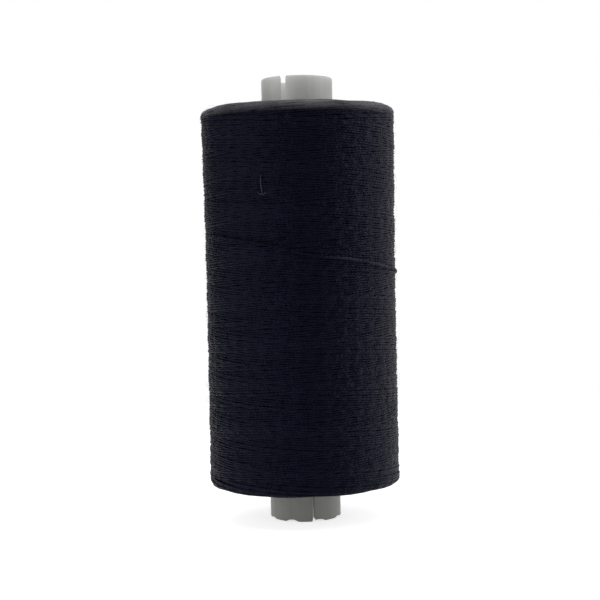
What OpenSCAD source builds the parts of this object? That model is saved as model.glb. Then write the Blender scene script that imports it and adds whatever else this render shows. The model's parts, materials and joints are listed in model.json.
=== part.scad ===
// Spool of sewing thread: a moulded plastic tube that carries a wound package of thread.
// Sizes are in millimetres. The origin is the middle of the foot's lowest plane, +Z runs
// up the tube, and the front is -Y. Angles are measured from the front towards +X.

/* [Tube] */
// Length of the tube from foot to rim
tube_l = 58.2; // [54:0.1:70]
// Diameter of the bore that slips over a spool pin
bore_d = 7.4; // [6:0.1:9]
// Thickness of the tube's wall
wall = 1; // [0.8:0.05:1.6]
// Rounding of the outer edge of both rims
rim_round = 0.2; // [0.1:0.05:0.4]
// Bare tube below the thread
foot_l = 4.7; // [3.5:0.1:8]
// Bare tube above the thread
head_l = 3.9; // [3:0.1:8]

/* [Slot in the head] */
// Width of the slot
slot_w = 0.6; // [0.4:0.05:1.2]
// Width of its flared mouth at the rim
slot_mouth_w = 0.9; // [0.8:0.05:1.8]
// Height of the flare
slot_mouth_h = 0.35; // [0.2:0.05:0.8]
// Depth of the slot from the rim
slot_l = 7; // [5:0.5:12]
// Direction in which the slot runs straight out
slot_turn = 0; // [-180:1:180]
// Distance of the slot to the left of the axis
slot_off = 1.75; // [0:0.05:2]

/* [Foot] */
// Number of lobes round the foot
lobe_n = 8; // [5:1:10]
// Width of the hollows between the lobes
hollow_w = 1.8; // [1:0.1:2]
// Depth of the hollows
hollow_depth = 0.3; // [0.15:0.05:0.5]
// Angle of the first hollow
hollow_turn = 22; // [-180:1:180]
// Width of the slit that divides the foot on one side
slit_w = 0.25; // [0.2:0.05:0.5]
// Height of the slit above the foot
slit_l = 6.5; // [4:0.5:10]
// Angle of the slit
slit_turn = 13; // [-180:1:180]
// Width of the slit's mouth, which opens more to one side
slit_mouth_w = 0.7; // [0.6:0.1:1.6]
// Height of the slit's mouth
slit_mouth_h = 0.5; // [0.4:0.1:2]

/* [Package] */
// Diameter over the thread at the waist
waist_d = 25.1; // [20:0.1:32]
// Growth of the radius from the waist to the head end
head_flare = 0.25; // [0:0.05:0.6]
// Growth of the radius from the waist to the foot end
foot_flare = 0.1; // [0:0.05:0.6]
// Rounding of the shoulder at the head end
head_shoulder = 0.9; // [0.3:0.1:2]
// Rounding of the shoulder at the foot end
foot_shoulder = 0.3; // [0.2:0.1:2]
// Height of the low cone where each end face climbs the tube
cone_h = 0.35; // [0.1:0.05:1]
// Reach of that cone out from the tube
cone_w = 0.9; // [0.4:0.1:2]

/* [Thread] */
// Diameter of the thread
thread_d = 0.28; // [0.2:0.02:0.4]
// Turns in the outer layer
turn_n = 24; // [8:1:24]
// Angle at which the outer layer starts under the head shoulder
turn_from = 150; // [-180:5:180]
// Angle at which the slack turn leaves the package
slack_from = -70; // [-180:5:180]
// Angle that the slack turn covers
slack_sweep = 270; // [120:15:330]
// Height at which the slack turn leaves the package
slack_z = 37.9; // [20:0.1:44]
// Fall of the slack turn over its length
slack_fall = 9.4; // [4:0.1:12]
// Rise of the slack turn off the outer layer at the middle of its length
slack_rise = 0.2; // [0:0.05:1]

/* [Hidden] */

// Fineness of the round forms
tube_fn = 64;
package_fn = 96;
edge_steps = 4;
side_steps = 12;
loop_rings = 24;
slack_rings = 48;
strand_sides = 6;

// Clearance between one lay of thread and the next
play = 0.02;
// Distance that a cut starts outside the face that it opens
under = 0.1;

bore_r = bore_d / 2;
tube_r = bore_r + wall;
// Length of a cut that runs out from the axis through the wall
cut_run = tube_r * 2;
outer_round = min(rim_round, wall * 0.4);
inner_round = outer_round / 2;

package_l = tube_l - foot_l - head_l;
package_top = foot_l + package_l;
drum_r = waist_d / 2 - thread_d;
thread_r = thread_d / 2;
// Radius of the tightest bend of a strand's centre line
bend_r = thread_d * 0.75;

// A chord between two rings dips by this factor, so the rings sit out by it
loop_out = 1 / cos(180 / loop_rings);
turn_margin = thread_d * 2;
turn_top = package_top - head_shoulder - turn_margin;
turn_foot = foot_l + foot_shoulder + turn_margin;
turn_pitch = (turn_top - turn_foot) / turn_n;

slack_n = round(slack_rings * slack_sweep / 360);
slack_z0 = between_turns(slack_from, slack_z);
slack_z1 = between_turns(slack_from + slack_sweep, slack_z - slack_fall);

// Radius of the plain drum under the outer layer, a low saddle along the package
function drum_at(z) =
    let (s = 2 * (z - foot_l) / package_l - 1)
    drum_r + (s > 0 ? head_flare : foot_flare) * s * s;

// Point at an angle from the front, a radius and a height
function spot(a, r, z) = [r * sin(a), -r * cos(a), z];

function unit(v) = v / norm(v);

function arc_points(c, r, a0, a1) =
    [for (i = [0:edge_steps]) let (a = a0 + (a1 - a0) * i / edge_steps)
        c + r * [cos(a), sin(a)]];

// Height of the outer layer's first loop at an angle, the later ones being pitches below
function turn_at(a) = turn_top - turn_pitch * (a - turn_from) / 360;

// Nearest height to z that is midway between two loops of the outer layer
function between_turns(a, z) =
    turn_at(a) - turn_pitch * (round((turn_at(a) - z) / turn_pitch - 0.5) + 0.5);

// Centre line of a strand end: straight out of the drum for one diameter, then a
// quarter bend along the package. way is 1 where the strand leaves and -1 where it returns.
function rise_points(a, z, way, top) =
    let (face = drum_at(z) + play, bend = top - bend_r)
    [spot(a, face, z),
        for (i = [0:3])
            let (r = bend + bend_r * sin(30 * i), run = bend_r * (1 - cos(30 * i)))
            spot(a + way * run / r * 180 / PI, r, z)];

function reversed(list) = [for (i = [len(list) - 1:-1:0]) list[i]];

// Outer layer: turn_n loops that fall from the head shoulder to the foot shoulder
turn_rings = turn_n * loop_rings;
function turn_point(i) =
    let (a = turn_from + i * 360 / loop_rings, z = turn_at(a))
    spot(a, (drum_at(z) + play + thread_r) * loop_out, z);
turn_end_top = thread_d + bend_r + play;
turn_to = turn_from + turn_n * 360;
turn_path = concat(
    rise_points(turn_from, turn_top, 1, drum_at(turn_top) + turn_end_top),
    [for (i = [1:turn_rings - 1]) turn_point(i)],
    reversed(rise_points(turn_to, turn_foot, -1, drum_at(turn_foot) + turn_end_top)));

// Slack turn: it rides over the outer layer and rises off it in the middle
slack_over = play + thread_d + drum_r * (loop_out - 1) + play + thread_d;
function slack_at(t) =
    let (a = slack_from + slack_sweep * t, z = slack_z0 + (slack_z1 - slack_z0) * t)
    spot(a, drum_at(z) + slack_over + slack_rise * sin(180 * t), z);
slack_path = concat(
    rise_points(slack_from, slack_z0, 1, drum_at(slack_z0) + slack_over),
    [for (i = [1:slack_n - 1]) slack_at(i / slack_n)],
    reversed(rise_points(slack_from + slack_sweep, slack_z1, -1,
        drum_at(slack_z1) + slack_over)));

// Least clear distance between one loop and any other, measured on the ring centres
function least_gap(path) =
    min([for (i = [0:len(path) - 1], j = [i + loop_rings / 2:1:len(path) - 1])
        norm(path[i] - path[j])]) - thread_d;
echo(outer_turns_least_gap_mm = least_gap(turn_path));

// Round strand along a path, with a ring at each point, in triangles
module strand(path, r) {
    last = len(path) - 1;
    n = strand_sides;
    rings = [for (i = [0:last])
        let (
            t = unit(path[min(i + 1, last)] - path[max(i - 1, 0)]),
            u = unit(cross(t, [0, 0, 1])),
            v = cross(u, t))
        for (k = [0:n - 1]) path[i] + r * (cos(360 * k / n) * u + sin(360 * k / n) * v)];
    sides = [for (i = [0:last - 1], k = [0:n - 1])
        let (a = i * n + k, b = i * n + (k + 1) % n)
        each [[a, b, b + n], [a, b + n, a + n]]];
    caps = [for (k = [1:n - 2])
        each [[0, k + 1, k], [last * n, last * n + k, last * n + k + 1]]];
    polyhedron(rings, concat(sides, caps), convexity = 10);
}

// Flared cut through the wall on one side, drawn with its mouth at z = 0 and running up
module wall_cut(w, l, mouth_h, mouth_left, mouth_right) {
    rotate([90, 0, 0])
        linear_extrude(cut_run)
            polygon([
                [-mouth_left, -under],
                [mouth_right, -under],
                [w / 2, mouth_h],
                [w / 2, l],
                [-w / 2, l],
                [-w / 2, mouth_h]]);
}

module tube_body() {
    rotate_extrude($fn = tube_fn)
        polygon(concat(
            arc_points([tube_r - outer_round, outer_round], outer_round, -90, 0),
            arc_points([tube_r - outer_round, tube_l - outer_round], outer_round, 0, 90),
            arc_points([bore_r + inner_round, tube_l - inner_round], inner_round, 90, 180),
            arc_points([bore_r + inner_round, inner_round], inner_round, 180, 270)));
}

// Hollows between the lobes of the foot, as round-topped cuts that run out through the wall
module foot_hollows() {
    hollow_r = (hollow_w * hollow_w / 4 + hollow_depth * hollow_depth) / (2 * hollow_depth);
    for (i = [0:lobe_n - 1])
        rotate(hollow_turn + i * 360 / lobe_n)
            translate([0, -bore_r * 0.8, 0])
                rotate([90, 0, 0])
                    linear_extrude(cut_run)
                        intersection() {
                            translate([0, hollow_depth - hollow_r])
                                circle(r = hollow_r, $fn = tube_fn);
                            translate([-hollow_w, -under])
                                square([2 * hollow_w, under + 2 * hollow_depth]);
                        }
}

module spool_tube() {
    color([0.56, 0.56, 0.53])
        difference() {
            tube_body();
            translate([0, 0, tube_l])
                rotate(slot_turn)
                    translate([-slot_off, 0, 0])
                        mirror([0, 0, 1])
                            wall_cut(slot_w, slot_l, slot_mouth_h,
                                slot_mouth_w / 2, slot_mouth_w / 2);
            rotate(slit_turn)
                wall_cut(slit_w, slit_l, slit_mouth_h,
                    slit_mouth_w * 0.35, slit_mouth_w * 0.65);
            foot_hollows();
        }
}

module thread_package() {
    foot_edge = drum_at(foot_l + foot_shoulder) - foot_shoulder;
    head_edge = drum_at(package_top - head_shoulder) - head_shoulder;
    side_z0 = foot_l + foot_shoulder;
    side_z1 = package_top - head_shoulder;
    color([0.09, 0.09, 0.14])
        rotate_extrude($fn = package_fn)
            polygon(concat(
                [[tube_r, foot_l - cone_h], [tube_r + cone_w, foot_l]],
                arc_points([foot_edge, side_z0], foot_shoulder, -90, 0),
                [for (i = [1:side_steps - 1])
                    let (z = side_z0 + (side_z1 - side_z0) * i / side_steps)
                    [drum_at(z), z]],
                arc_points([head_edge, side_z1], head_shoulder, 0, 90),
                [[tube_r + cone_w, package_top], [tube_r, package_top + cone_h]]));
}

module outer_turns() {
    color([0.13, 0.13, 0.2])
        strand(turn_path, thread_r);
}

module slack_turn() {
    color([0.24, 0.24, 0.32])
        strand(slack_path, thread_r);
}

spool_tube();
thread_package();
outer_turns();
slack_turn();
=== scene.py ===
import json
import math

import bmesh
import bpy
import numpy as np
from mathutils import Matrix, Vector

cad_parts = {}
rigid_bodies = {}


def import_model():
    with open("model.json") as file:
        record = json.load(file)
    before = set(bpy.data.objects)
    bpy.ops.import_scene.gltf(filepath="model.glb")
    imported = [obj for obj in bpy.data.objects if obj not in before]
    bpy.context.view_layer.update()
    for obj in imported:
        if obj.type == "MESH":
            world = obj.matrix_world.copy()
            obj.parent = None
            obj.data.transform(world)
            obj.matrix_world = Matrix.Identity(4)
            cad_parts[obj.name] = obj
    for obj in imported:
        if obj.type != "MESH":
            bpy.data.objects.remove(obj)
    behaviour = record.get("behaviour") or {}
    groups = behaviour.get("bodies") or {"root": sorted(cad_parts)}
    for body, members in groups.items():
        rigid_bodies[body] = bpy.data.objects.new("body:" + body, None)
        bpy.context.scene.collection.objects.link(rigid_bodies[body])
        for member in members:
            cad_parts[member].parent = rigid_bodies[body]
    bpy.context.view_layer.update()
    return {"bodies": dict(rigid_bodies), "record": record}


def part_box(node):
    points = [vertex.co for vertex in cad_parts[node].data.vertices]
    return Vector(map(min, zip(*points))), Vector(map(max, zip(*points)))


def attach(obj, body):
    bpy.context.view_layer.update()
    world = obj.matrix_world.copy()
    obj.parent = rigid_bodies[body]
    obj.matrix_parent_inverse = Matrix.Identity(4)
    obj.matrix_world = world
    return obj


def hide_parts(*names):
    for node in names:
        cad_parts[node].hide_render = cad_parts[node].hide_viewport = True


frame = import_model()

mm = 0.001
fullTurn = 2 * math.pi
body = list(frame["bodies"])[0]
packLow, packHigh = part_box("thread_package")
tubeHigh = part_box("spool_tube")[1]
tubeRadius = tubeHigh.x
tubeLength = tubeHigh.z
boreRadius = frame["record"]["mounts"][0]["dims"]["r_mm"] * mm

scene = bpy.context.scene
scene.view_settings.view_transform = "Standard"
print("frame loaded, the tube is", round(tubeLength / mm, 2), "mm long")


# a socket that takes part in plain arithmetic
class Wire:
    def __init__(self, finish, socket):
        self.finish = finish
        self.socket = socket

    # another output of the same node
    def beside(self, output):
        return Wire(self.finish, self.socket.node.outputs[output])

    def combine(self, operation, first, second):
        return self.finish.add("ShaderNodeMath", {"operation": operation}, {0: first, 1: second})

    def larger(self, other):
        return self.combine("MAXIMUM", self, other)

    def __add__(self, other):
        return self.combine("ADD", self, other)

    def __radd__(self, other):
        return self.combine("ADD", other, self)

    def __sub__(self, other):
        return self.combine("SUBTRACT", self, other)

    def __rsub__(self, other):
        return self.combine("SUBTRACT", other, self)

    def __mul__(self, other):
        return self.combine("MULTIPLY", self, other)

    def __rmul__(self, other):
        return self.combine("MULTIPLY", other, self)


# the nodes of a material or a world while they are put together
class Finish:
    def __init__(self, owner, outKind="ShaderNodeOutputMaterial"):
        self.owner = owner
        owner.use_nodes = True
        self.tree = owner.node_tree
        self.tree.nodes.clear()
        self.out = self.tree.nodes.new(outKind)

    # settings come first, then the sockets' values or links; output is the socket handed back
    def add(self, kind, settings=None, inputs=None, output=0):
        node = self.tree.nodes.new(kind)
        for key, value in (settings or {}).items():
            setattr(node, key, value)
        for key, value in (inputs or {}).items():
            if isinstance(value, Wire):
                self.tree.links.new(value.socket, node.inputs[key])
            else:
                node.inputs[key].default_value = value
        return Wire(self, node.outputs[output])

    # where a point lies on the piece, in metres
    def place(self, stretch=(1, 1, 1)):
        coords = self.add("ShaderNodeTexCoord", output="Object")
        return self.add("ShaderNodeMapping", None, {"Vector": coords, "Scale": stretch})

    # how far a point lies from the axis
    def reach(self):
        flat = self.place((1, 1, 0))
        return self.add("ShaderNodeVectorMath", {"operation": "LENGTH"}, {0: flat}, "Value")

    def noise(self, scale, detail=2.0, roughness=0.5, stretch=(1, 1, 1)):
        inputs = {"Vector": self.place(stretch), "Scale": scale, "Detail": detail, "Roughness": roughness}
        return self.add("ShaderNodeTexNoise", None, inputs)

    def attribute(self, name, output="Fac"):
        return self.add("ShaderNodeAttribute", {"attribute_name": name}, output=output)

    def between(self, value, low, high, toLow=0.0, toHigh=1.0):
        inputs = {0: value, 1: low, 2: high, 3: toLow, 4: toHigh}
        return self.add("ShaderNodeMapRange", {"clamp": True}, inputs)

    # either colour may be a plain one or a link
    def blend(self, factor, first, second):
        first, second = (v if isinstance(v, Wire) else (*v, 1.0) for v in (first, second))
        inputs = {0: factor, 6: first, 7: second}
        return self.add("ShaderNodeMix", {"data_type": "RGBA"}, inputs, output=2)

    def bump(self, height, distance, strength):
        inputs = {"Height": height, "Distance": distance, "Strength": strength}
        return self.add("ShaderNodeBump", None, inputs)

    def matt(self, colour):
        return self.add("ShaderNodeBsdfDiffuse", None, {"Color": (*colour, 1.0)})

    def emission(self, strength):
        return self.add("ShaderNodeEmission", None, {"Strength": strength})

    def either(self, factor, first, second):
        return self.add("ShaderNodeMixShader", None, {0: factor, 1: first, 2: second})

    # 1 for what the eye, a mirror or glass shows, and 0 for what only sheds light
    def shown(self):
        ray = self.add("ShaderNodeLightPath", output="Is Camera Ray")
        return ray.larger(ray.beside("Is Glossy Ray")).larger(ray.beside("Is Transmission Ray"))

    def done(self, shader):
        self.tree.links.new(shader.socket, self.out.inputs["Surface"])
        return self.owner


def newFinish(name):
    return Finish(bpy.data.materials.new(name))


def addObject(name, data):
    added = bpy.data.objects.new(name, data)
    scene.collection.objects.link(added)
    return added


def toMesh(name, bm):
    mesh = bpy.data.meshes.new(name)
    bm.to_mesh(mesh)
    bm.free()
    return mesh


camera = {
    "distance": 171.63,  # mm from the aim point
    "pitch": 0.0465,  # radians, looking down
    "roll": -0.0216,  # radians
    "aimX": -0.172,  # mm
    "aimZ": 28.922,
    "focal": 1285.0,  # in the units of the frame's width
    "frameWidth": 600,
    "sensorWidth": 36.0,  # mm
    "clip": (0.005, 20.0),  # metres
}


def makeCamera(c):
    data = bpy.data.cameras.new("camera")
    data.sensor_width = c["sensorWidth"]
    data.lens = c["focal"] * c["sensorWidth"] / c["frameWidth"]
    data.clip_start, data.clip_end = c["clip"]
    ahead = Vector((0, math.cos(c["pitch"]), -math.sin(c["pitch"])))
    level = Vector((1, 0, 0))
    up = level.cross(ahead)
    right = math.cos(c["roll"]) * level + math.sin(c["roll"]) * up
    top = math.cos(c["roll"]) * up - math.sin(c["roll"]) * level
    facing = Matrix((right, top, -ahead)).transposed().to_4x4()
    eye = Vector((c["aimX"], 0, c["aimZ"])) * mm - ahead * c["distance"] * mm
    scene.camera = addObject("camera", data)
    scene.camera.matrix_world = Matrix.Translation(eye) @ facing


makeCamera(camera)
print("camera placed")

light = {
    "ambient": 0.4,
    "aimHeight": 30,  # mm
    "panels": {
        # angle from the front, height angle, distance in mm, width, height, strength in watts
        "panelLeft": (-44, 8, 400, 420, 460, 0.95),
        "panelRight": (90, 8, 400, 420, 460, 1.25),
        "panelTop": (10, 72, 420, 300, 300, 0.55),
        "panelBack": (180, 24, 400, 420, 300, 0.8),
        "panelFill": (-95, 8, 400, 420, 460, 0.35),
    },
    "unmirrored": ["panelBack", "panelTop", "panelFill"],  # glossy surfaces don't show these
    "flags": {
        # angle from the front, distance in mm, width, height
        "flagFront": (11.5, 100, 96, 600),
        "flagLeft": (-122, 200, 150, 1200),
    },
    "flagBlack": (0.01, 0.01, 0.01),
}


def makePanels(l):
    aim = Vector((0, 0, l["aimHeight"])) * mm
    for name, (turn, lift, distance, width, height, watts) in l["panels"].items():
        data = bpy.data.lights.new(name, "AREA")
        data.shape = "RECTANGLE"
        data.size = width * mm
        data.size_y = height * mm
        data.energy = watts
        a, e = math.radians(turn), math.radians(lift)
        out = Vector((math.sin(a) * math.cos(e), -math.cos(a) * math.cos(e), math.sin(e)))
        panel = addObject(name, data)
        panel.location = aim + out * distance * mm
        panel.rotation_euler = out.to_track_quat("Z", "Y").to_euler()
        panel.visible_camera = False
        panel.visible_glossy = name not in l["unmirrored"]


# dark cards round the spool, which only reflections see
def makeFlags(l):
    finish = newFinish("flagBlack")
    black = finish.done(finish.matt(l["flagBlack"]))
    for name, (turn, distance, width, height) in l["flags"].items():
        bm = bmesh.new()
        bmesh.ops.create_grid(bm, x_segments=1, y_segments=1, size=0.5)
        bmesh.ops.scale(bm, verts=bm.verts, vec=(width * mm, height * mm, 1))
        bmesh.ops.rotate(bm, verts=bm.verts, matrix=Matrix.Rotation(fullTurn / 4, 3, "X"))
        bmesh.ops.translate(bm, verts=bm.verts, vec=(0, -distance * mm, height * mm / 2))
        bmesh.ops.rotate(bm, verts=bm.verts, matrix=Matrix.Rotation(math.radians(turn), 3, "Z"))
        flag = addObject(name, toMesh(name, bm))
        flag.data.materials.append(black)
        flag.visible_camera = False
        flag.visible_diffuse = False
        flag.visible_shadow = False
        flag.visible_transmission = False


# the room is white to the eye, to mirrors and through glass, and dimmer as a light
def makeRoom(l):
    scene.world = bpy.data.worlds.new("room")
    finish = Finish(scene.world, "ShaderNodeOutputWorld")
    dim, white = (
        finish.add("ShaderNodeBackground", None, {"Color": (1, 1, 1, 1), "Strength": strength})
        for strength in (l["ambient"], 1.0)
    )
    finish.done(finish.either(finish.shown(), dim, white))


floorPaint = {
    "radius": 1500,  # mm
    "segments": 96,
    "colour": (0.8, 0.8, 0.8),
    "bounce": (0.7, 0.7, 0.66),  # what the floor hands back to the object
    "lift": 0.68,  # light of its own, which brings the near floor up to white
    "fadeFrom": 50,  # mm from the axis, where the floor starts to turn plain white
    "fadeTo": 130,
}


def makeFloor(f):
    bm = bmesh.new()
    bmesh.ops.create_circle(bm, cap_ends=True, segments=f["segments"], radius=f["radius"] * mm)
    floor = addObject("floor", toMesh("floor", bm))
    finish = newFinish("floorPaint")
    paint = finish.matt(f["colour"])
    near = finish.add("ShaderNodeAddShader", None, {0: paint, 1: finish.emission(f["lift"])})
    far = finish.between(finish.reach(), f["fadeFrom"] * mm, f["fadeTo"] * mm)
    seen = finish.either(far, near, finish.emission(1.0))
    both = finish.either(finish.shown(), finish.matt(f["bounce"]), seen)
    floor.data.materials.append(finish.done(both))


makePanels(light)
makeFlags(light)
makeRoom(light)
makeFloor(floorPaint)
print("lights and floor made")


def addPiece(name, mesh, material, slot, *nodes):
    piece = addObject(name, mesh)
    mesh.materials.append(material)
    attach(piece, body)
    if nodes:
        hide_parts(*nodes)
    return piece


def smooth(mesh, sharpFrom=None):
    mesh.polygons.foreach_set("use_smooth", np.ones(len(mesh.polygons), bool))
    if sharpFrom:
        mesh.set_sharp_from_angle(angle=math.radians(sharpFrom))
    return mesh


# the mesh of an object with its modifiers or its bevel in it
def finishedMesh(piece):
    graph = bpy.context.evaluated_depsgraph_get()
    return bpy.data.meshes.new_from_object(piece.evaluated_get(graph))


def applied(piece):
    mesh = finishedMesh(piece)
    piece.modifiers.clear()
    piece.data = mesh
    return mesh


# how far along a path each of its points lies
def distances(path):
    return np.concatenate([[0], np.cumsum(np.linalg.norm(np.diff(path, axis=0), axis=1))])


# points at an angle from the front, given in radians, and at a radius and a height
def spots(angle, radius, height):
    return np.stack([radius * np.sin(angle), -radius * np.cos(angle), height], -1)


# a row of values evened out with a kernel, its ends held
def evened(values, kernel):
    width = len(kernel)
    padded = np.pad(values, width, mode="edge")
    return np.convolve(padded, kernel / kernel.sum(), "same")[width:-width]


# an outline of (radius, height) points turned once round the axis
def turned(outline, steps):
    bm = bmesh.new()
    verts = [bm.verts.new((x, 0, z)) for x, z in outline]
    edges = [bm.edges.new(pair) for pair in zip(verts, verts[1:] + verts[:1])]
    bmesh.ops.spin(
        bm,
        geom=verts + edges,
        cent=(0, 0, 0),
        axis=(0, 0, 1),
        angle=fullTurn,
        steps=steps,
        use_merge=True,
    )
    bmesh.ops.remove_doubles(bm, verts=bm.verts, dist=1e-7)
    bmesh.ops.recalc_face_normals(bm, faces=bm.faces)
    return bm


# a round strand along each path of points in mm, closed at its ends, with the length
# along it in metres and twice the angle round it kept as attributes for the twist
def sweep(name, paths, diameter, sides):
    paths = [path * mm for path in paths]
    curve = bpy.data.curves.new(name, "CURVE")
    curve.dimensions = "3D"
    curve.twist_mode = "MINIMUM"
    curve.bevel_depth = diameter / 2 * mm
    curve.bevel_resolution = sides // 2 - 2
    twice = np.arange(sides) * (2 * fullTurn / sides)
    ring = np.stack([np.cos(twice), np.sin(twice), 0 * twice], 1)
    for path in paths:
        spline = curve.splines.new("POLY")
        spline.points.add(len(path) - 1)
        spline.points.foreach_set("co", np.column_stack([path, np.ones(len(path))]).ravel())
    holder = addObject(name, curve)
    mesh = finishedMesh(holder)
    mesh.name = name
    bpy.data.objects.remove(holder)
    bpy.data.curves.remove(curve)
    along = np.concatenate([np.repeat(distances(path), sides) for path in paths])
    around = np.concatenate([np.tile(ring, (len(path), 1)) for path in paths]).ravel()
    alongData = mesh.attributes.new("along", "FLOAT", "POINT").data
    alongData.foreach_set("value", along.astype(np.float32))
    aroundData = mesh.attributes.new("around", "FLOAT_VECTOR", "POINT").data
    aroundData.foreach_set("vector", around.astype(np.float32))
    bm = bmesh.new()
    bm.from_mesh(mesh)
    bmesh.ops.holes_fill(bm, edges=[e for e in bm.edges if e.is_boundary], sides=sides)
    bm.to_mesh(mesh)
    bm.free()
    return smooth(mesh)


# noise is given as its scale, detail, roughness and stretch
threadLook = {
    "deep": (0.0006, 0.0006, 0.0032),
    "worn": (0.002, 0.002, 0.0074),
    "patches": (260.0, 3.0),
    "fibres": (5200.0, 2.0, 0.6, (1, 1, 2.5)),
    "clumps": (1100.0, 2.0, 0.5, (0.7, 0.7, 1.3)),  # turns that lie higher or lower together
    "patchShare": 0.5,  # of the mottling, which has the fibres for the rest
    "shadeSpan": (0.3, 0.7),
    "fuzzLint": 0.006,  # lint is the grey that loose ends and fluff add
    # the slack strand's grey is painted light on its raised part
    "slackPaintedLight": 0.033,
    "slackLitSpan": (20.0, 24.5),  # mm along the slack strand, between which the painted light of its raised part comes in
    "strayLint": 0.09,
    "lintTint": (1.0, 1.0, 1.5),
    "deepLint": 0.6,  # share of the lint that the deep colour takes
    "twist": 1.1,  # mm for one full turn of the two plies
    "plyRelief": 0.5,
    "fibreRelief": 0.3,
    "clumpRelief": 14.0,
    "reliefDepth": 0.06,  # mm
    "reliefStrength": 0.65,
    "fibreSpan": (0.2, 0.8),
    "roughness": (0.45, 0.62),
    "specular": 0.12,
    "gloss": (0.55, 0.57, 1.0),  # tint of the highlights
    "sheen": 0.003,
    "sheenRoughness": 0.45,
    "sheenTint": (0.8, 0.85, 1.0),
    "dustAndHighlight": (0.15, 0.15, 0.1575),  # fluff that settles on the head shoulder, with a painted highlight of the light from above
    "dustAndHighlightSpan": (0.22, 0.62),
    "dustAndHighlightFrom": (0.55, 1.75),  # mm under the top, where it is fullest and where it ends
    "dustAndHighlightRim": (7.5, 12.1),  # mm from the axis, between which the end face grows dusty and takes the painted highlight
}


# how much fluff and painted highlight of the light from above lie on the head shoulder and on the rim of
# its end face
def dustAndHighlightCover(finish, t, mottle):
    height = finish.add("ShaderNodeSeparateXYZ", None, {0: finish.place()}, "Z")
    fullest, last = (packHigh.z - v * mm for v in t["dustAndHighlightFrom"])
    inner, outer = (v * mm for v in t["dustAndHighlightRim"])
    rim = finish.between(finish.reach(), inner, outer)
    cover = finish.between(height, last, fullest) * rim * rim
    return cover * finish.between(mottle, *t["dustAndHighlightSpan"])


# the relief of two plies twisted round each other
def plyHeight(finish, t):
    around = finish.attribute("around", "Vector")
    ringX = finish.add("ShaderNodeSeparateXYZ", None, {0: around}, "X")
    ringY = ringX.beside("Y")
    turn = finish.attribute("along") * (2 * fullTurn / (t["twist"] * mm))
    cosine = finish.add("ShaderNodeMath", {"operation": "COSINE"}, {0: turn})
    sine = finish.add("ShaderNodeMath", {"operation": "SINE"}, {0: turn})
    return (ringX * cosine + ringY * sine) * t["plyRelief"]


# raised says between which lengths along a strand the grey comes in, as painted light where the strand
# stands off the package
def threadFinish(name, t, plies=True, lint=0.0, raised=None):
    finish = newFinish(name)
    patch = finish.noise(*t["patches"])
    fibre = finish.noise(*t["fibres"])
    clump = finish.noise(*t["clumps"])
    mottle = patch * t["patchShare"] + fibre * (1 - t["patchShare"])
    shade = finish.between(mottle, *t["shadeSpan"])
    grey = np.array(t["lintTint"]) * lint
    deep = np.array(t["deep"])
    if raised:
        # painted light: from here on the strand is paler, as if its raised part caught more light
        start, full = (v * mm for v in raised)
        shade = shade * finish.between(finish.attribute("along"), start, full)
    else:
        deep = deep + grey * t["deepLint"]
    colour = finish.blend(shade, deep, grey + t["worn"])
    height = fibre * t["fibreRelief"] + clump * t["clumpRelief"]
    if plies:
        height = height + plyHeight(finish, t)
    inputs = {
        # the head shoulder is made paler with dust and a painted highlight of the light from above
        "Base Color": finish.blend(dustAndHighlightCover(finish, t, mottle), colour, t["dustAndHighlight"]),
        "Roughness": finish.between(fibre, *t["fibreSpan"], *t["roughness"]),
        "Normal": finish.bump(height, t["reliefDepth"] * mm, t["reliefStrength"]),
        "Specular IOR Level": t["specular"],
        "Specular Tint": (*t["gloss"], 1.0),
        "Sheen Weight": t["sheen"],
        "Sheen Roughness": t["sheenRoughness"],
        "Sheen Tint": (*t["sheenTint"], 1.0),
    }
    return finish.done(finish.add("ShaderNodeBsdfPrincipled", None, inputs))


plasticLook = {
    "shade": (0.245, 0.245, 0.236),
    "pale": (0.3, 0.3, 0.296),
    "clouds": (140.0, 3.0),
    "drawMarks": (1500.0, 2.0, 0.5, (1, 1, 0.06)),  # left along the tube by its mould
    "specks": (2600.0, 1.0),
    "cloudShade": 0.6,
    "drawShade": 0.25,
    "speckShade": 0.15,
    "shadeSpan": (0.35, 0.65),
    "boreLight": 1.28,  # how much paler the bore is painted, as painted light that the translucent wall lets in from behind
    "boreLightDepth": 0.4,  # mm of the wall over which that fades
    "speckSpan": (0.3, 0.7),
    "roughness": (0.38, 0.5),
    "drawRelief": 0.6,
    "speckRelief": 0.4,
    "reliefDepth": 0.03,  # mm
    "reliefStrength": 0.35,
    "specular": 0.4,
    "glow": 0.88,  # how much of the light passes into the wall
    "glowDepth": 6.5,  # mm
}


def plasticFinish(name, p):
    finish = newFinish(name)
    cloud = finish.noise(*p["clouds"])
    draw = finish.noise(*p["drawMarks"])
    speck = finish.noise(*p["specks"])
    mottle = cloud * p["cloudShade"] + draw * p["drawShade"] + speck * p["speckShade"]
    shade = finish.between(mottle, *p["shadeSpan"])
    ownColour = finish.blend(shade, p["shade"], p["pale"])
    # painted light: the bore wall is coloured paler to stand in for light that comes through the wall
    boreLight = finish.blend(shade, *(np.array(p[key]) * p["boreLight"] for key in ("shade", "pale")))
    inside = 1 - finish.between(finish.reach(), boreRadius, boreRadius + p["boreLightDepth"] * mm)
    relief = draw * p["drawRelief"] + speck * p["speckRelief"]
    inputs = {
        "Base Color": finish.blend(inside, ownColour, boreLight),
        "Roughness": finish.between(speck, *p["speckSpan"], *p["roughness"]),
        "Normal": finish.bump(relief, p["reliefDepth"] * mm, p["reliefStrength"]),
        "Specular IOR Level": p["specular"],
        "Subsurface Weight": p["glow"],
        "Subsurface Radius": (1.0, 1.0, 1.0),
        "Subsurface Scale": p["glowDepth"] * mm,
    }
    return finish.done(finish.add("ShaderNodeBsdfPrincipled", None, inputs))


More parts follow.
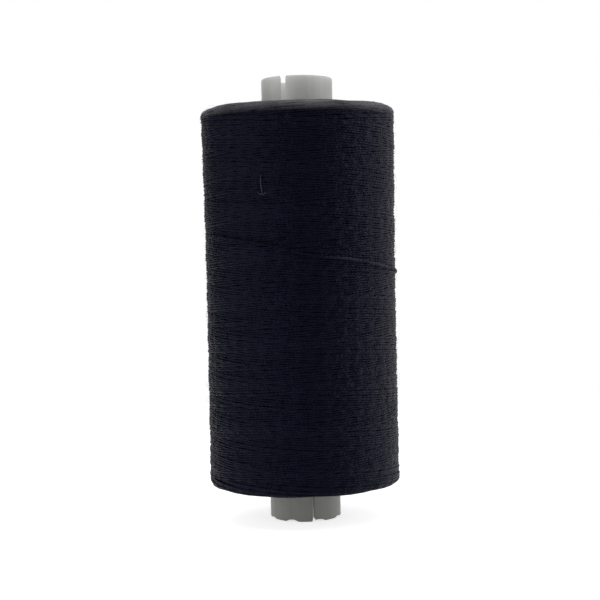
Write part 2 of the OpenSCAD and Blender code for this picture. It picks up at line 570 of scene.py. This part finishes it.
threadNavy = threadFinish("threadNavy", threadLook)
woundNavy = threadFinish("woundNavy", threadLook, plies=False)
fuzzNavy = threadFinish("fuzzNavy", threadLook, plies=False, lint=threadLook["fuzzLint"])
# the slack strand's paler raised part is painted light
slackNavy = threadFinish(
    "slackNavy",
    threadLook,
    plies=False,
    lint=threadLook["slackPaintedLight"],
    raised=threadLook["slackLitSpan"],
)
lintGrey = threadFinish("lintGrey", threadLook, plies=False, lint=threadLook["strayLint"])
mouldedGrey = plasticFinish("mouldedGrey", plasticLook)
print("finishes made")

# sizes in mm and angles in degrees, here and in every dictionary below
tube = {
    "steps": 144,
    "rimRound": 0.2,
    "boreRound": 0.1,
    "roundSteps": 6,
    # side is the distance from the axis, left and right are the two halves of the mouth
    "slot": {
        "turn": 0,
        "side": -1.75,
        "width": 0.6,
        "length": 7.0,
        "left": 0.45,
        "right": 0.45,
        "flare": 0.35,
    },
    "slit": {
        "turn": 13,
        "side": 0,
        "width": 0.25,
        "length": 6.5,
        "left": 0.245,
        "right": 0.455,
        "flare": 0.5,
    },
    "slotOver": 0.2,  # how far a slot's cutter stands past the end of the tube
    "lobes": 8,
    "hollowTurn": 22,
    "hollowWidth": 1.8,
    "hollowDepth": 0.3,
    "hollowSteps": 16,
    "hollowOver": 0.15,
    "hollowStart": 0.8,  # share of the bore's radius at which a hollow's cutter starts
    "brokenEdge": 0.05,
    "brokenSteps": 2,
    "brokenFrom": 40,
    "sharpFrom": 38,
}


def quarter(x, z, radius, start, steps):
    angles = [math.radians(start + 90 * i / steps) for i in range(steps + 1)]
    return [(x + radius * math.cos(a), z + radius * math.sin(a)) for a in angles]


# a slot that starts at the tube's edge and runs the way given, with a wider mouth
def slotOutline(cut, edge, way, over):
    half = cut["width"] / 2
    mouth, flare, end = (edge + way * v for v in (-over, cut["flare"], cut["length"]))
    outline = [(-cut["left"], mouth), (cut["right"], mouth), (half, flare)]
    outline += [(half, end), (-half, end), (-half, flare)]
    return [(x + cut["side"], z) for x, z in outline]


# the shallow arc between two lobes of the foot
def hollowOutline(t):
    wide, deep, steps = t["hollowWidth"], t["hollowDepth"], t["hollowSteps"]
    radius = (wide * wide / 4 + deep * deep) / (2 * deep)
    span = math.acos((radius - deep - t["hollowOver"]) / radius)
    arc = [span - 2 * span * i / steps for i in range(steps + 1)]
    return [(radius * math.sin(a), deep - radius + radius * math.cos(a)) for a in arc]


# a flat outline in mm, pushed out from the bore through the wall and turned to its place
def cutOutwards(bm, outline, turn, start=0.0):
    verts = [bm.verts.new((x * mm, -start, z * mm)) for x, z in outline]
    face = bm.faces.new(verts)
    grown = bmesh.ops.extrude_face_region(bm, geom=[face])["geom"]
    moved = [v for v in grown if isinstance(v, bmesh.types.BMVert)]
    bmesh.ops.translate(bm, verts=moved, vec=(0, -2 * tubeRadius, 0))
    spin = Matrix.Rotation(math.radians(turn), 3, "Z")
    bmesh.ops.rotate(bm, verts=verts + moved, cent=(0, 0, 0), matrix=spin)


def subtract(piece, bm):
    bmesh.ops.recalc_face_normals(bm, faces=bm.faces)
    cutter = addObject("cutter", toMesh("cutter", bm))
    cut = piece.modifiers.new("cut", "BOOLEAN")
    cut.operation = "DIFFERENCE"
    cut.solver = "EXACT"
    cut.object = cutter
    applied(piece)
    bpy.data.objects.remove(cutter)


def makeTube(t):
    rim, lip, steps = t["rimRound"] * mm, t["boreRound"] * mm, t["roundSteps"]
    outline = quarter(tubeRadius - rim, rim, rim, -90, steps)
    outline += quarter(tubeRadius - rim, tubeLength - rim, rim, 0, steps)
    outline += quarter(boreRadius + lip, tubeLength - lip, lip, 90, steps)
    outline += quarter(boreRadius + lip, lip, lip, 180, steps)
    mesh = toMesh("tube", turned(outline, t["steps"]))
    piece = addPiece("tube", mesh, mouldedGrey, "tube_plastic", "spool_tube")

    for cut, edge, way in ((t["slot"], tubeLength / mm, -1), (t["slit"], 0, 1)):
        bm = bmesh.new()
        cutOutwards(bm, slotOutline(cut, edge, way, t["slotOver"]), cut["turn"])
        subtract(piece, bm)

    bm = bmesh.new()
    for k in range(t["lobes"]):
        turn = t["hollowTurn"] + k * 360 / t["lobes"]
        cutOutwards(bm, hollowOutline(t), turn, boreRadius * t["hollowStart"])
    subtract(piece, bm)

    edge = piece.modifiers.new("edge", "BEVEL")
    edge.width = t["brokenEdge"] * mm
    edge.segments = t["brokenSteps"]
    edge.limit_method = "ANGLE"
    edge.angle_limit = math.radians(t["brokenFrom"])
    mesh = smooth(applied(piece), t["sharpFrom"])
    print("tube made,", len(mesh.polygons), "faces")


makeTube(tube)

package = {
    "coneHeight": 0.35,
    "coneReach": 0.9,
    "headShoulder": 0.9,
    "footShoulder": 0.3,
    "shoulderSteps": 8,
    "waist": 12.6,  # the radius where it is slimmest
    "headFlare": 0.25,
    "footFlare": 0.1,
    "coreDepth": 0.42,  # how far the plain wound mass lies under the shown strands
    "coreRows": 60,
    "coreSteps": 128,
    "coreSharpFrom": 40,
}
packTop = packHigh.z / mm - package["coneHeight"]
packFoot = packLow.z / mm + package["coneHeight"]
packWall = tubeRadius / mm


# outside radius in mm at a height in mm, a low saddle with a round shoulder at each end
def outsideAt(z):
    z = np.asarray(z, float)
    s = 2 * (z - packFoot) / (packTop - packFoot) - 1
    flare = np.where(s > 0, package["headFlare"], package["footFlare"])
    radius = package["waist"] + flare * s * s
    for end, shoulder in ((packTop, package["headShoulder"]), (packFoot, package["footShoulder"])):
        into = np.clip(1 - np.abs(end - z) / shoulder, 0, 1)
        radius = radius - shoulder * (1 - np.sqrt(1 - into * into))
    return radius


# the plain wound mass
def makeCore(p):
    depth = p["coreDepth"]
    heights = np.linspace(packFoot + depth, packTop - depth, p["coreRows"])
    outline = [(packWall, packFoot + depth)]
    outline += list(zip(outsideAt(heights) - depth, heights))
    outline += [(packWall, packTop - depth)]
    bm = turned([(x * mm, z * mm) for x, z in outline], p["coreSteps"])
    mesh = smooth(toMesh("wound_core", bm), p["coreSharpFrom"])
    addPiece("wound_core", mesh, woundNavy, "thread", "thread_package")
    print("wound core made,", len(mesh.polygons), "faces")


makeCore(package)

winding = {
    "diameter": 0.28,
    "sides": 6,
    "lead": 5.5,  # along the spool for each turn
    "strokes": 84,
    "strokesShown": 60,
    "shift": 0.31,  # how far each double stroke falls beside the one before
    "squash": 0.45,  # how much of its thickness a strand keeps where it is crossed
    "bedded": 0.45,  # how much of its relief the surface keeps under the later turns' pull
    "proud": 0.05,
    "wander": 0.05,
    "waves": 4,
    "beat": (0.17, 1.9),  # waves of the wander in each turn
    "endScatter": 0.45,
    "endSettle": 0.9,  # from an end, over which its scatter dies away
    "endMargin": 0.1,
    "turnRound": 0.16,  # turns that a reversal takes
    "columns": 192,
    "cell": 0.04,
    "fullness": 90,  # percentile of the laid surface that counts as its level
    "levelMargin": 0.7,  # left out at each end when the level is evened out
    "levelOver": 4,
    "keepEvery": 4,
    "pointsEach": 16000,  # most points that one piece holds
    "seed": 11,
}


# a taut strand over a row of supports never bends inwards more than a free span would
def tautOver(step, support, bend):
    place = np.arange(len(support)) * step
    level = support - place * place / (2 * bend)
    hull = []
    for i in range(len(level)):
        while len(hull) > 1:
            a, b = hull[-2], hull[-1]
            rise = (level[b] - level[a]) * (i - a) - (level[i] - level[a]) * (b - a)
            if rise > 0:
                break
            hull.pop()
        hull.append(i)
    return np.interp(place, place[hull], level[hull]) + place * place / (2 * bend)


# where the strand runs: to and fro along the package while it goes round
def strandHeights(w, rng, total, turnsEach, low, high):
    index = np.arange(total)
    phase = index / w["columns"] / turnsEach
    z = low + (high - low) * np.abs((phase + 1) % 2 - 1)
    fromTop, fromFoot = high - z, z - low
    top = rng.uniform(0, w["endScatter"], w["strokes"] + 2)
    foot = rng.uniform(0, w["endScatter"], w["strokes"] + 2)
    z = z - top[np.floor(phase / 2).astype(int)] * np.exp(-fromTop / w["endSettle"])
    z = z + foot[np.floor((phase + 1) / 2).astype(int)] * np.exp(-fromFoot / w["endSettle"])
    for wave in range(w["waves"]):
        beat = rng.uniform(*w["beat"])
        slip = rng.uniform()
        z = z + w["wander"] / 2 * np.sin(fullTurn * (index / w["columns"] * beat + slip))
    reversal = np.hanning(int(w["turnRound"] * w["columns"]) + 2)[1:-1]  # rounds each reversal
    return evened(z, reversal), np.floor(phase).astype(int)


# lays one long strand on the drum, each stroke over the relief of those before it
def layStrand(w):
    rng = np.random.default_rng(w["seed"])
    r = w["diameter"] / 2
    low, high = packFoot + w["endMargin"], packTop - w["endMargin"]
    turnsEach = (round(2 * (high - low) / w["lead"]) + w["shift"] / w["lead"]) / 2
    total = int(w["strokes"] * turnsEach * w["columns"])
    z, stroke = strandHeights(w, rng, total, turnsEach, low, high)
    rows = packFoot + np.arange(int((packTop - packFoot) / w["cell"]) + 2) * w["cell"]
    drum = outsideAt(rows)
    surface = np.tile(drum, (w["columns"], 1))
    offsets = np.arange(-math.ceil(r / w["cell"]), math.ceil(r / w["cell"]) + 1)
    step = fullTurn * drum.max() / w["columns"]
    bare = -1e9  # stands for cells that the strand doesn't reach
    radius = np.empty(total)
    for k in range(w["strokes"]):
        part = np.nonzero(stroke == k)[0]
        column = (part % w["columns"])[:, None]
        cell = np.rint((z[part] - rows[0]) / w["cell"]).astype(int)
        cells = np.clip(cell[:, None] + offsets, 0, len(rows) - 1)
        away = (rows[cells] - z[part][:, None]) / r
        bulge = r * np.sqrt(np.clip(1 - away * away, 0, 1)) * w["squash"]
        under = np.abs(away) < 1
        support = np.where(under, surface[column, cells] + bulge, bare).max(1)
        settled = tautOver(step, support, drum.max())
        radius[part] = settled
        raised = np.where(under, settled[:, None] + bulge, bare)
        np.maximum.at(surface, (column + 0 * cells, cells), raised)

    # the laid strands rise above the drum, so their even level is taken off again
    grown = np.percentile(surface, w["fullness"], axis=0) - drum
    inner = np.nonzero((rows > low + w["levelMargin"]) & (rows < high - w["levelMargin"]))[0]
    even = evened(grown[inner], np.ones(int(w["levelOver"] / w["cell"])))
    shownFrom = np.nonzero(stroke == w["strokes"] - w["strokesShown"])[0][0]
    keep = slice(shownFrom, total, w["keepEvery"])
    turn = fullTurn * np.arange(total)[keep] / w["columns"]
    out = radius[keep] - np.interp(z[keep], rows[inner], even)
    limit = outsideAt(z[keep]) - r + w["proud"]
    out = limit - np.maximum(limit - out, 0) * w["bedded"]
    print("laid", w["strokes"], "strokes,", round(float(even.mean()), 2), "mm deep")
    return np.stack([out * np.cos(turn), out * np.sin(turn), z[keep]], 1)


def makeWinding(w):
    path = layStrand(w)
    count = math.ceil(len(path) / w["pointsEach"])
    size = math.ceil(len(path) / count)
    for k in range(count):
        part = path[k * size : (k + 1) * size + 1]
        name = "winding_" + str(k + 1)
        mesh = sweep(name, [part], w["diameter"], w["sides"])
        addPiece(name, mesh, threadNavy, "thread", "outer_turns")
    length = float(distances(path)[-1]) * mm
    print("winding made,", count, "pieces with", round(length, 1), "m of thread")


makeWinding(winding)

ends = {
    "ringSpacing": 0.24,
    "arcs": 9,
    "reach": 60,  # to each side of a reversal
    "points": 13,
    "blunt": 24,  # over which a reversal is round
    "sideMargin": 0.25,  # left free before the side of the package
    "spread": 0.3,  # how unevenly the arcs of a ring follow each other
    "sunkIn": 0.6,  # strand radii by which an arc lies within the outline
    "sunkDown": 0.5,
    "scatter": 0.18,
    "stray": 0.1,
    "seed": 5,
}


# outline of an end face from the tube to the side of the package, as (radius, drop) in mm
def endOutline(edge, shoulder):
    p, steps = package, package["shoulderSteps"]
    line = [(packWall, -p["coneHeight"]), (packWall + p["coneReach"], 0.0), (edge - shoulder, 0.0)]
    for i in range(1, steps + 1):
        a = fullTurn / 4 * i / steps
        line.append((edge - shoulder + shoulder * math.sin(a), shoulder * (1 - math.cos(a))))
    return np.array(line)


# the reversals that show on an end face, each a shallow arc that dives into the package
def makeEnd(e, name, face, way, shoulder, seed):
    rng = np.random.default_rng(seed)
    r = winding["diameter"] / 2
    line = endOutline(float(outsideAt(face - way * shoulder)), shoulder)
    run = distances(line)
    places = np.arange(r, run[-1] - e["sideMargin"], e["ringSpacing"])
    swing = np.linspace(-e["reach"], e["reach"], e["points"])
    dip = winding["lead"] / 360 * (np.sqrt(swing**2 + e["blunt"] ** 2) - e["blunt"])
    paths = []
    for place in places:
        ring = np.interp(place, run, line[:, 0])
        drop = np.interp(place, run, line[:, 1])
        first = rng.uniform(0, 360)
        for k in range(e["arcs"]):
            centre = first + 360 * (k + rng.uniform(-e["spread"], e["spread"])) / e["arcs"]
            lean = rng.uniform(-1, 1) * e["stray"]
            radius = ring - r * e["sunkIn"] + lean * swing / e["reach"]
            radius = np.maximum(radius, packWall + r)
            z = face - way * (drop + r * e["sunkDown"] + dip + rng.uniform(0, e["scatter"]))
            paths.append(spots(np.radians(centre + swing), radius, z))
    mesh = sweep(name, paths, winding["diameter"], winding["sides"])
    addPiece(name, mesh, threadNavy, "thread")
    print(name, "made of", len(paths), "arcs")


makeEnd(ends, "head_end", packTop, 1, package["headShoulder"], ends["seed"])
makeEnd(ends, "foot_end", packFoot, -1, package["footShoulder"], ends["seed"] + 1)

slack = {
    "diameter": 0.36,
    "sides": 8,
    "step": 0.08,
    # angle from the front, height, and how far it stands off the package
    "route": [
        (-70, 37.9, -0.4),
        (-50, 37.4, -0.12),
        (-26, 36.7, -0.1),
        (-17.5, 36.35, -0.1),
        (-5, 35.6, -0.07),
        (8.5, 34.85, 0.0),
        (14.5, 34.72, 0.04),
        (28.5, 34.5, 0.12),
        (39, 34.05, 0.2),
        (52, 33.55, 0.16),
        (62, 33.25, 0.02),
        (72, 32.95, -0.1),
        (100, 32.1, -0.12),
        (130, 31.0, -0.12),
        (165, 29.7, -0.14),
        (200, 28.5, -0.4),
    ],
    "samples": 1200,
    "rounding": 60,  # samples over which a corner of the route is rounded
    "plyOff": 0.95,  # how far each ply lies off the strand's middle, in radii of a ply
    "plyFull": 1.08,  # how much fuller each ply is than half the strand
}


# the loose strand over the outer layer, with its two plies laid round each other
def makeSlack(s):
    degrees, heights, standOff = np.array(s["route"], float).T
    angle = np.linspace(degrees[0], degrees[-1], s["samples"])
    rounding = np.hanning(s["rounding"] + 2)[1:-1]
    z, off = (evened(np.interp(angle, degrees, v), rounding) for v in (heights, standOff))
    line = spots(np.radians(angle), outsideAt(z) + s["diameter"] / 2 + off, z)
    run = distances(line)
    at = np.arange(0, run[-1], s["step"])
    line = np.stack([np.interp(at, run, line[:, i]) for i in range(3)], 1)
    ahead = np.gradient(line, axis=0)
    ahead /= np.linalg.norm(ahead, axis=1)[:, None]
    side = np.cross(ahead, [0, 0, 1.0])
    side /= np.linalg.norm(side, axis=1)[:, None]
    over = np.cross(side, ahead)
    turn = (fullTurn / threadLook["twist"] * at)[:, None]
    ply = s["diameter"] / 2
    plies = []
    for half in (0, math.pi):
        outwards = np.cos(turn + half) * side + np.sin(turn + half) * over
        plies.append(line + ply / 2 * s["plyOff"] * outwards)
    mesh = sweep("slack_strand", plies, ply * s["plyFull"], s["sides"])
    addPiece("slack_strand", mesh, slackNavy, "thread", "slack_turn")
    print("slack strand made,", round(float(at[-1]), 1), "mm long")


makeSlack(slack)

fuzz = {
    "side": 2400,
    "head": 380,
    "foot": 260,
    "diameter": 0.015,
    "sides": 4,
    "length": (0.4, 1.7),
    "rise": (0.05, 0.75),
    "risePower": 1.6,  # makes low fibres more common than tall ones
    "riseShare": 0.62,  # share of its length that a fibre of full rise stands up
    "arch": (0.45, 0.95),  # half waves that a fibre bends through
    "curl": 0.5,
    "lean": 0.85,  # share of its length that a fibre reaches sideways
    "rootDepth": 0.08,  # share of its length by which a fibre starts under the surface
    "sunk": 0.03,  # how far the side's fibres start within the outline
    "endSunk": 0.15,
    "endMargin": 0.3,  # left free at each end of the side
    "rimMargin": 0.6,  # left free round the tube
    "endReach": 12.0,  # radius out to which the end faces have fibres
    "points": 7,
    "seed": 23,
}


# one loose fibre that leaves the surface, bends over and comes to rest in the air
def fibrePath(rng, start, outwards, f):
    length = rng.uniform(*f["length"])
    rise = rng.uniform(*f["rise"]) ** f["risePower"]
    sideways = np.cross(outwards, rng.normal(size=3))
    sideways /= np.linalg.norm(sideways)
    other = np.cross(outwards, sideways)
    t = np.linspace(0, 1, f["points"])[:, None]
    curl = rng.uniform(-f["curl"], f["curl"])
    bend = np.sin(t * math.pi * rng.uniform(*f["arch"]))
    lift = bend * rise * f["riseShare"] - f["rootDepth"]
    path = outwards * lift + sideways * t * f["lean"] + other * curl * t * t
    return start + path * length


def makeFuzz(f):
    rng = np.random.default_rng(f["seed"])
    paths = []
    for k in range(f["side"]):
        a = rng.uniform(0, fullTurn)
        z = rng.uniform(packFoot + f["endMargin"], packTop - f["endMargin"])
        start = spots(a, outsideAt(z) - f["sunk"], z)
        paths.append(fibrePath(rng, start, np.array([math.sin(a), -math.cos(a), 0.0]), f))
    inner = packWall + f["rimMargin"]
    for count, face, way in ((f["head"], packTop, 1), (f["foot"], packFoot, -1)):
        for k in range(count):
            a = rng.uniform(0, fullTurn)
            r = math.sqrt(rng.uniform(inner**2, f["endReach"] ** 2))
            start = spots(a, r, face - way * f["endSunk"])
            paths.append(fibrePath(rng, start, np.array([0, 0, float(way)]), f))
    mesh = sweep("fuzz", paths, f["diameter"], f["sides"])
    addPiece("fuzz", mesh, fuzzNavy, "thread")
    print("fuzz made,", len(paths), "fibres")


makeFuzz(fuzz)

lint = {
    "diameter": 0.06,
    "sides": 6,
    "points": 22,
    # angle from the front, height, and how far it stands off the package
    "upright": [(-21.9, 45.1, -0.04), (-21.8, 44.5, 0.06), (-21.5, 43.5, 0.1), (-21.0, 42.7, 0.06)],
    "across": [(-24.0, 42.9, -0.06), (-22.0, 42.7, 0.08), (-20.2, 42.65, 0.1), (-18.8, 42.9, -0.04)],
}


# a pale stray fibre that clings to the outer turns
def makeLint(n):
    paths = []
    for route in (n["upright"], n["across"]):
        t = np.linspace(0, len(route) - 1, n["points"])
        angle, z, off = (np.interp(t, np.arange(len(route)), v) for v in np.array(route).T)
        paths.append(spots(np.radians(angle), outsideAt(z) + off, z))
    mesh = sweep("lint", paths, n["diameter"], n["sides"])
    addPiece("lint", mesh, lintGrey, "thread")
    print("lint made")


makeLint(lint)

print("all pieces made")
